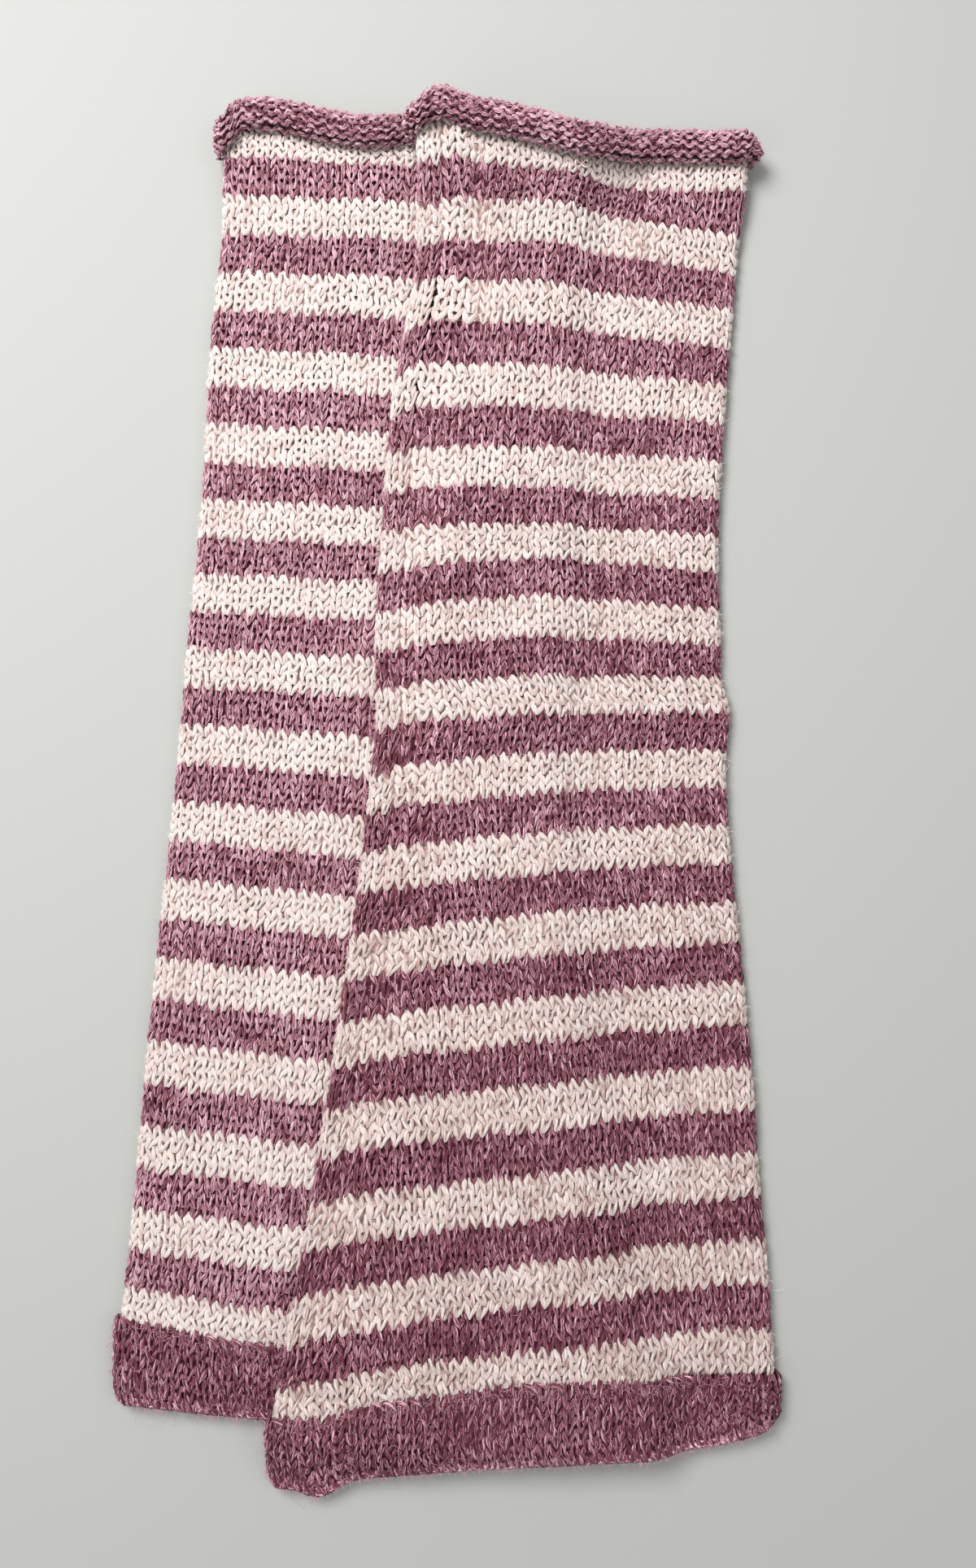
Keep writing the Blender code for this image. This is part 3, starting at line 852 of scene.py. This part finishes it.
def hem_stitches(mitt):
    """The hem's stitches and the loops that sew it down."""
    courses = [HEM_START + row * HEM_ROW for row in range(HEM_COURSES + 2)]
    table = stitch_table(mitt, courses, column_list, *HEM_TUBE)
    yarn = Yarn()
    sign = np.where(np.round((table[:, 0] - HEM_START) / HEM_ROW) % 2 == 0, 1.0, -1.0)
    lay_plied(yarn, mitt, table, HEM_LEAN * sign, "rose", True, 0.01)
    back = stitch_table(mitt, courses[:HEM_COURSES], back_columns, *HEM_TUBE)
    level = np.zeros(len(back))
    lay_stitches(yarn, mitt, back, [under_leg()], level, COARSE, True, UNDER_SINK)
    template = whip_strand()
    left, right, _ = tube_edges(mitt, HEM_START, *HEM_TUBE)
    on_top = (table[:, 1] > 0.5) & (table[:, 1] < float(right - left) - 0.5)
    rhythm = np.sin(GROUP_RHYTHM * table[:, 1] + GROUP_START)
    in_groups = rhythm + rng.normal(0, 0.25, len(table)) > GROUP_LEAST
    first = table[(table[:, 0] == HEM_START) & on_top & in_groups]
    count = len(first)
    s = first[:, 1][:, None] + template[:, 0] + varied(count, 0.25)
    down = template[:, 1] * rng.uniform(0.75, 1.15, (count, 1)) + varied(count, 0.2)
    out = template[:, 2] + varied(count, 0.15)
    xyz = hem_place(mitt, HEM_START + down / PITCH, s, out)
    xyz[..., 2] += relief(mitt, xyz[..., 0], xyz[..., 1])
    yarn.add(template, xyz, varied(count, 0.04, -0.02), True)
    return yarn.piece(f"{mitt}_hem_stitches", "rose")


AROUND = 120
RIM_RINGS = (8, 15)
SEAM_PLACES = (-2.2, -1.4, -0.9, -0.45, 0.45, 0.9, 1.4, 2.2)
SLIT_DEPTH = 0.7


def round_places(mitt, course, flat=FLAT, wider=0.0):
    """Places all round the tube at one course, starting in the middle of the back."""
    left, right, radius = tube_edges(mitt, course, flat, wider)
    width = float(right - left)
    whole = 2 * width + 2 * pi * radius
    start = -pi * radius - width / 2
    even = np.linspace(start, start + whole, AROUND - len(SEAM_PLACES), endpoint=False)
    seam = SEAM_FROM_FOLD + wider - flat / 2
    return np.sort(np.concatenate([even, seam + np.array(SEAM_PLACES)]))


def body_cloth(mitt):
    """The tube of cloth behind the stitches."""
    upper = mitt == UPPER
    courses = np.arange(0, LAST_COURSE + 1, 2.0)
    if upper:
        courses = np.union1d(courses, np.arange(SLIT_COURSES[0] // 1 - 1, SLIT_COURSES[1] + 2, 1.0))
    rings, uvs = [], []
    for course in courses:
        s = round_places(mitt, course)
        within = (course % (2 * STRIPE_COURSES)) / STRIPE_COURSES
        points = place(mitt, course, s, -CLOTH_IN - CLOTH_DEEPER * max(0.0, sin(pi * (within - 1))))
        if upper:
            sunk = (FLAT - 2 * CLOTH_IN) * SLIT_DEPTH * in_slit(course)
            points[..., 2] -= sunk * (1 - ease(0.5, 1.0, np.abs(s - SEAM)))
        rings.append(points)
        uvs.append(np.stack([s / STITCH, np.full(AROUND, course)], axis=-1))
    faces = grid_faces(len(courses), AROUND, closed_columns=True)
    ring_of = np.repeat(courses[:-1], AROUND)
    backing = (~stripe_is_pale(ring_of)).astype(int)
    if upper:
        # Faces along the open thumb slit take the painted shade of its shadowed inside
        at_seam = np.abs(np.tile(s, len(courses) - 1) - SEAM + 0.45) < 1.0
        backing = np.where((in_slit(ring_of + 0.5) > 0.5) & at_seam, 2, backing)
    backings = [PALE_BACKING, ROSE_BACKING, PAINTED_SHADE_INSIDE]
    name = f"{mitt}_body_cloth"
    made = make_piece(name, rings, faces[:, ::-1], backings, "pale_knit", backing, np.concatenate(uvs))
    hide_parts(f"{mitt}_body")
    return made


def hem_cloth(mitt):
    """The hem's folded cloth: down its outside, round its edge and up its inside."""
    steps = [(LAST_COURSE + row, -CLOTH_IN) for row in (-0.6, 0, 1, 2, 3, 4, 5, 5.6, 6.2)]
    steps += [(RIM_COURSE - 0.4, -0.95)]
    steps += [(RIM_COURSE + turn, -0.62) for turn in (-0.25, -0.1, 0.05, 0.2, 0.4)]
    steps += [(RIM_COURSE + 0.55, -0.75)]
    inner = HEM_FLAT / 2 - LAYER_GAP / 2
    inside = [(LAST_COURSE + row, -inner) for row in (6.4, 5, 3, 1.5, 0.1)]
    rings, uvs = [], []
    for i, (course, out) in enumerate(steps + inside):
        s = round_places(mitt, min(course, RIM_COURSE), *HEM_TUBE)
        if i < len(steps):
            rings.append(hem_place(mitt, course, s, out))
        else:
            rings.append(place(mitt, course, s, out, *HEM_TUBE))
        uvs.append(np.stack([s / STITCH, np.full(AROUND, float(i))], axis=-1))
    faces = grid_faces(len(rings), AROUND, closed_columns=True)
    ring_of = np.repeat(np.arange(len(rings) - 1), AROUND)
    at_rim = ((ring_of >= RIM_RINGS[0]) & (ring_of < RIM_RINGS[1])).astype(int)
    name = f"{mitt}_hem_cloth"
    backings = [ROSE_BACKING, YARNS["rose"]]
    made = make_piece(name, rings, faces[:, ::-1], backings, "rose_knit", at_rim, np.concatenate(uvs))
    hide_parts(f"{mitt}_arm_hem")
    return made


# The rolled edge, where the cloth turns outwards and shows its purl side


def roll_size(mitt):
    """How far it is round the mouth."""
    left, right, _ = tube_edges(mitt, 0.0)
    return 2 * float(right - left) + 2 * FOLD_LENGTH


def roll_stations(mitt, p):
    """Places round the mouth: p runs across the front from its left end, round the right fold,
    back across the back and round the left fold."""
    left, right, _ = tube_edges(mitt, 0.0)
    width = float(right - left)
    p = np.mod(p, roll_size(mitt))
    turn_right = np.clip((p - width) / FOLD_LENGTH, 0, 1)
    on_back = np.clip(p - width - FOLD_LENGTH, 0, width)
    turn_left = np.clip((p - 2 * width - FOLD_LENGTH) / FOLD_LENGTH, 0, 1)
    x = left + np.minimum(p, width) - on_back
    facing = pi / 2 - pi * (turn_right + turn_left)
    share = (1 - np.sin(facing)) / 2
    covered = slump = raised = 0.0
    if mitt == LOWER:
        covered = ease(-ROLL_COVER_RUN, 0, x - UPPER_ROWS[0][1])
        slump = 1 - ease(0, SLUMP_WIDTH, x - left)
        raised = np.exp(-(((x - left - CORNER_AT) / CORNER_WIDE) ** 2)) * (1 - share)
    front = ROLL_FRONT + (ROLL_COVERED - ROLL_FRONT) * covered
    radius = (front * (1 - share) + ROLL_BACK * share) * (1 - 0.25 * slump) * (1 - 0.15 * raised)
    return x, facing, radius, ROLL_LIP * slump - CORNER_NARROWER * raised


def roll_place(mitt, p, q, out):
    """Points on the roll: q runs from its lower tip up over its front and down inside."""
    x, facing, radius, lip = roll_stations(mitt, p)
    half = CLOTH / 2
    top = ROLL_ABOVE - ROLL_SHORTER * np.abs(np.cos(facing)) - radius - half
    bottom = ROLL_BELOW + radius + half - lip
    bottom = bottom + ROLL_HIGHER_AT_FOLD * np.clip(np.cos(facing), 0, 1)
    least = CLOTH + ROLL_CLEAR - radius
    curl = np.minimum(ROLL_CURL, CURL_SHARE * np.arccos(np.clip(least / radius, -1, 1)))
    rounded = radius + half
    curled = curl * rounded
    straight = top - bottom
    angle = np.minimum(q - curled, 0) / rounded + np.clip((q - curled - straight) / rounded, 0, pi)
    centre = bottom + np.clip(q - curled, 0, straight)
    inside = np.maximum(q - curled - straight - pi * rounded, 0)
    reach = rounded + out
    n = LAYER_GAP / 2 + rounded + reach * np.cos(angle)
    px = x + n * np.cos(facing)
    py = course_y(mitt, 0.0, px) + centre + reach * np.sin(angle) - inside
    if mitt == LOWER:
        py = py + CORNER_RAISED * (1 - ease(*CORNER, px - LOWER_ROWS[0][1]))
    mouth = base_height(mitt, x, course_y(mitt, 0.0, x))
    pz = mouth + FLAT / 2 + n * np.sin(facing)
    return np.stack(np.broadcast_arrays(px, py, pz), axis=-1)


def roll_cloth(mitt):
    """The rolled cloth behind the purl bumps."""
    q = np.linspace(0.3, ROLL_CLOTH, 26)[:, None]
    p = np.linspace(0, roll_size(mitt), 160, endpoint=False)[None, :]
    points = roll_place(mitt, p, q, -0.85)
    faces = grid_faces(q.size, p.size, closed_columns=True)
    uvs = np.stack(np.broadcast_arrays(p / STITCH, q / ROLL_PITCH), axis=-1).reshape(-1, 2)
    made = make_piece(f"{mitt}_roll_cloth", points, faces, [ROSE_BACKING], "rose_knit", uv=uvs)
    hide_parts(f"{mitt}_hand_roll")
    return made


# Arches and hollows: their place in the step, their rise, drop and height
LOOP_KINDS = ((0.0, 1.45, 0.70, 0.20), (0.5, -1.45, -0.90, 0.10))
LOOP_APART, LOOP_PLY = 0.29, 0.44
LOOP_TWIST = 1.6 * pi
MIDDLE_ROW = 3.5


def roll_loops(mitt):
    """Rows of purl bumps all round the roll, arches and hollows by turns."""
    steps = np.linspace(0, roll_size(mitt), 1500)
    edge = roll_place(mitt, steps, np.full(len(steps), ROLL_FIRST + MIDDLE_ROW * ROLL_PITCH), 0.0)
    reached = distance_along(edge)
    around = round(reached[-1] / STITCH)
    step = reached[-1] / around
    yarn = Yarn()
    for row in range(ROLL_ROWS):
        for share, rise, drop, height in LOOP_KINDS:
            along = (np.arange(around) + share)[:, None] * step + varied(around, 0.22)
            q = ROLL_FIRST + row * ROLL_PITCH + varied(around, 0.24)
            size = 1 + varied(around, 0.10)
            lift = varied(around, 0.12, height)
            path = crescent_path(rise, drop)
            for template in plies(path, LOOP_APART, LOOP_PLY, rng.uniform(0, pi), LOOP_TWIST):
                out = template[:, 2] * size + lift
                p = np.interp(np.mod(along + template[:, 0] * size, reached[-1]), reached, steps)
                xyz = roll_place(mitt, p, q - template[:, 1] * size, out)
                yarn.add(template, xyz, varied(around, 0.06, 0.10), True, PLY)
    return yarn.piece(f"{mitt}_roll_loops", "rose")


# Loose fibres, as thin ribbons that lie close to the cloth and stand out at its edges

FIBRE_WIDTH, GLINT_WIDTH = 0.10, 0.20
GLINT_OUT = 0.24
GLINTS = {LOWER: 1100, UPPER: 2000}
HEM_GLINTS = 450
BODY_LEAN, ON_HEM_LEAN = 0.42, 0.30
ON_TOP = {LOWER: 2300, UPPER: 4200}
SHORT_RIBBON, LONG_RIBBON = 4, 8
LONG_FIBRE = 4.5
# Where each single hair starts, its heading and its length
SINGLE_HAIRS = (((79.7, -145.1, 1.2), 0.13, 6.2), ((80.4, -165.2, 1.2), 0.42, 5.0))
# How much the headings of fibres differ, their least and greatest length and how far they stand up
OVER_BODY = (2.0, 1.0, 4.0, 0.9)
AT_FOLD = (0.9, 0.6, 2.3, 0.4)
GLINT = (0.15, 1.2, 2.4, 0.15)
OVER_HEM = (2.0, 1.0, 4.0, 0.5)
AT_RIM = (0.7, 0.8, 3.6, 0.3)
LONG_AT_RIM = (0.8, 5.0, 13.0, 0.4)
OVER_SEWING = (1.2, 1.2, 3.5, 0.5)
AT_HEM_FOLD = (0.7, 0.8, 3.5, 0.3)
OVER_ROLL = (2.0, 0.8, 3.0, 0.7)
AT_LIP = (0.8, 0.8, 3.0, 0.4)


def fibres(ribbon, starts, heading, length, rise, curl, wide):
    """Curved ribbons from their starts, in mm; rise is how far the middle of each stands up."""
    count = len(starts)
    t = np.linspace(0, 1, ribbon)[None, :]
    turn = varied(count, 1.1) * curl[:, None]
    twist = varied(count, 0.7) * curl[:, None]
    angle = heading[:, None] + turn * (t - 0.3) + twist * np.sin(2 * pi * t)
    step = length[:, None] / (ribbon - 1)

    def walked(start, moves):
        return start + np.concatenate([np.zeros((count, 1)), np.cumsum(moves, axis=1)[:, :-1]], axis=1)

    x = walked(starts[:, :1], step * np.cos(angle))
    y = walked(starts[:, 1:2], step * np.sin(angle))
    z = starts[:, 2:3] + rise[:, None] * np.sin(pi * np.minimum(t * 0.9, 1))
    droop = rng.uniform(0.1, 0.4, (count, 1)) - starts[:, 2:3]
    z = z + droop * ease(3.0, 6.0, length)[:, None] * t
    half = wide[:, None] / 2 * (1 - 0.7 * t)
    side_x, side_y = -np.sin(angle) * half, np.cos(angle) * half
    one = np.stack([x + side_x, y + side_y, z], axis=-1)
    other = np.stack([x - side_x, y - side_y, z + 0.02], axis=-1)
    points = np.stack([one, other], axis=2)
    faces = grid_faces(ribbon, 2)[None] + np.arange(count)[:, None, None] * 2 * ribbon
    return points.reshape(-1, 3), faces.reshape(-1, 4)


def along_legs(count, lean):
    """Headings up or down the cloth, each leaning to one side as the legs of stitches do."""
    headings = rng.choice((-1, 1), count) * pi / 2
    return headings + rng.choice((-1, 1), count) * lean


def shown_width(mitt, at):
    """How far across its top the mitt can be seen."""
    if mitt == LOWER:
        return course_ends(UPPER, at)[0] - course_ends(mitt, at)[0]
    left, right, _ = tube_edges(mitt, at)
    return right - left


def mitt_fibres(mitt):
    """All loose fibres of a mitt, in one piece by colour."""
    upper = mitt == UPPER
    gathered = []

    def more(places, facing, kind, at=RIM_COURSE, curled=1.0, width=FIBRE_WIDTH):
        spread, shortest, longest, stands = kind
        count = len(places)
        gathered.append((
            places,
            facing + rng.normal(0, spread, count),
            shortest + (longest - shortest) * rng.uniform(0, 1, count) ** 3,
            rng.uniform(0, stands, count),
            np.full(count, curled),
            np.full(count, width),
            np.broadcast_to(at, count),
        ))

    at = rng.uniform(0, LAST_COURSE, ON_TOP[mitt])
    s = rng.uniform(-2, shown_width(mitt, at) + (2 if upper else 0))
    more(place(mitt, at, s, 0.25), 0.0, OVER_BODY, at)
    if upper:
        for start, facing, long in SINGLE_HAIRS:
            more(np.array([start]), facing, (0.0, long, long, 0.3), 0.0, 0.3, 0.12)
    for facing in (pi, 0.0) if upper else (pi,):
        at = rng.uniform(0, LAST_COURSE, 300)
        left, right, radius = tube_edges(mitt, at)
        fold = -pi * radius / 2 if facing else right - left + pi * radius / 2
        s = fold + rng.normal(0, 1.2, len(at))
        more(place(mitt, at, s, 0.2), facing, AT_FOLD, at, 0.6)
    for _ in range(2):
        at = rng.uniform(0, LAST_COURSE, GLINTS[mitt])
        at = at[~stripe_is_pale(at)]
        places = place(mitt, at, rng.uniform(-2, shown_width(mitt, at) + 1), GLINT_OUT)
        more(places, along_legs(len(at), BODY_LEAN), GLINT, at, 0.2, GLINT_WIDTH)
    left, right, radius = tube_edges(mitt, RIM_COURSE, *HEM_TUBE)
    shown = float(right - left)
    at = rng.uniform(LAST_COURSE, RIM_COURSE - 0.3, HEM_GLINTS)
    facing = along_legs(len(at), ON_HEM_LEAN)
    glints = hem_place(mitt, at, rng.uniform(-2, shown + 2, len(at)), GLINT_OUT)
    more(glints, facing, GLINT, RIM_COURSE, 0.2, GLINT_WIDTH)
    at = rng.uniform(LAST_COURSE, RIM_COURSE - 0.3, 350)
    more(hem_place(mitt, at, rng.uniform(-2, shown + 2, len(at)), 0.25), 0.0, OVER_HEM)
    for count, past, out, kind in ((300, 2, 0.1, AT_RIM), (26, 0, 0.0, LONG_AT_RIM)):
        s = rng.uniform(-2, shown + past, count)
        more(hem_place(mitt, np.full(count, RIM_COURSE), s, out), -pi / 2, kind)
    at = HEM_START + rng.normal(0.3, 0.35, 420)
    more(hem_place(mitt, at, rng.uniform(0, shown, len(at)), 0.4), 0.3, OVER_SEWING)
    quarter = radius * pi / 2
    for facing, fold in ((pi, -quarter), (0.0, shown + quarter)):
        at = rng.uniform(LAST_COURSE, RIM_COURSE, 70)
        more(hem_place(mitt, at, np.full(len(at), fold), 0.2), facing, AT_HEM_FOLD)
    mouth = roll_size(mitt) / 2
    for count, low, high, out, facing, kind in (
        (900, 1, 10, 0.3, 0.0, OVER_ROLL),
        (260, 9, 12, 0.2, pi / 2, AT_LIP),
    ):
        p, q = rng.uniform(0, mouth, count), rng.uniform(low, high, count)
        more(roll_place(mitt, p, q, out), facing, kind)
    *values, course = (np.concatenate(parts) for parts in zip(*gathered))
    pale = stripe_is_pale(course) & (course < LAST_COURSE)
    is_long = values[2] >= LONG_FIBRE
    for colour, of_colour in (("pale", pale), ("rose", ~pale)):
        points, faces, count = [], [], 0
        for ribbon, of_length in ((SHORT_RIBBON, ~is_long), (LONG_RIBBON, is_long)):
            new = fibres(ribbon, *(value[of_colour & of_length] for value in values))
            points.append(new[0])
            faces.append(new[1] + count)
            count += len(new[0])
        name, slot = f"{mitt}_{colour}_fibres", f"{colour}_knit"
        points, faces = np.concatenate(points), np.concatenate(faces)
        yield make_piece(name, points, faces, [FIBRES[colour]], slot)


LOOP_AT = (27.4, 181.0)


def loose_loop():
    """The small pulled loop of pale yarn under the upper mitt's roll."""
    around = 6
    turn = np.linspace(0.35, 5.7, 26)
    x = LOOP_AT[0] + 1.9 * np.cos(turn)
    y = LOOP_AT[1] + 0.85 * np.sin(2 * turn) + 0.25 * np.cos(turn)
    course = np.interp(-y, [-course_y(UPPER, c, LOOP_AT[0]) for c in (0, 4)], (0, 4))
    left = float(tube_edges(UPPER, 2.0)[0])
    z = place(UPPER, course, x - left, 0.75)[:, 2] + 0.35 * np.sin(turn * 2.5)
    centre = np.stack([x, y, z], axis=1)
    along = unit(np.gradient(centre, axis=0))
    side = unit(np.cross(along, (0, 0, 1.0)))
    up = np.cross(side, along)
    angle = np.linspace(0, 2 * pi, around, endpoint=False)[None, :, None]
    thick = 0.24 * (1 + 0.2 * np.sin(turn * 4))[:, None, None]
    points = centre[:, None] + thick * (np.cos(angle) * side[:, None] + np.sin(angle) * up[:, None])
    faces = grid_faces(len(turn), around, closed_columns=True)
    length, turned = np.arange(len(turn)) * 0.25, np.arange(around) / around
    uvs = np.stack(np.meshgrid(length, turned, indexing="ij"), -1)[..., ::-1].reshape(-1, 2)
    tones = np.full(len(uvs), 0.04)
    name = "upper_mitt_loose_loop"
    return make_piece(name, points, faces, [YARNS["pale"]], "pale_knit", uv=uvs, tone_and_shade=tones)


def dress(mitt):
    """Makes every piece of one mitt, works out its body cloth's area, and returns the body cloth."""
    body, hem, roll = body_cloth(mitt), hem_cloth(mitt), roll_cloth(mitt)
    table = ROWS[mitt]
    rounds = 2 * (table[:, 3] - table[:, 1]) * MM
    at = table[:, 0] * PITCH * MM
    body_area = float(np.sum((rounds[1:-1] + rounds[:-2]) / 2 * np.diff(at[:-1])))
    on_body = [*body_stitches(mitt), *under_stitches(mitt), *mitt_fibres(mitt)]
    if mitt == UPPER:
        on_body.append(loose_loop())
    hem_stitches(mitt)
    roll_size(mitt) * MM
    roll_loops(mitt)
    return body


lower_body = dress(LOWER)
dress(UPPER)


# Camera, light and floor

LENS_PIXELS = 1449.0
LONG_SIDE_PIXELS = 1928.0
SENSOR = 36.0
TILT = radians(4)
HEIGHT = LENS_PIXELS * 0.24 * cos(TILT)

camera_data = bpy.data.cameras.new("camera")
camera_data.sensor_width = SENSOR
camera_data.lens = SENSOR * LENS_PIXELS / LONG_SIDE_PIXELS
camera = new_object("camera", camera_data)
camera.location = (np.array([0, -tan(TILT) * HEIGHT, HEIGHT]) - MIDDLE) * MM
camera.rotation_euler = (TILT, 0, 0)
bpy.context.scene.camera = camera

floor_mesh = bpy.data.meshes.new("floor")
floor_mesh.from_pydata([(-3, -3, 0), (3, -3, 0), (3, 3, 0), (-3, 3, 0)], [], [(0, 1, 2, 3)])
floor_mesh.materials.append(plain_material("floor", 0.8, 0.0, (1, 1, 1), (0.46, 0.465, 0.445)))
new_object("floor", floor_mesh)


def soft_light(name, place_at, aim, size, power):
    data = bpy.data.lights.new(name, "AREA")
    data.shape = "DISK"
    data.size = size
    data.energy = power
    lamp = new_object(name, data)
    lamp.location = place_at
    direction = np.array(aim, float) - np.array(place_at, float)
    lamp.rotation_euler = Vector(direction).to_track_quat("-Z", "Y").to_euler()


soft_light("key", (-0.34, 0.40, 0.70), (-0.02, 0.02, 0), 0.46, 8.4)
soft_light("fill", (0.7, 0.0, 0.8), (0, 0, 0), 0.6, 1.5)
soft_light("low", (-0.5, -0.5, 0.7), (-0.08, -0.12, 0), 0.6, 1.2)
world = bpy.data.worlds.new("studio")
world.use_nodes = True
background = world.node_tree.nodes["Background"].inputs
background["Color"].default_value = (1, 1, 1, 1)
background["Strength"].default_value = 0.38
bpy.context.scene.world = world
bpy.context.scene.view_settings.view_transform = "Standard"
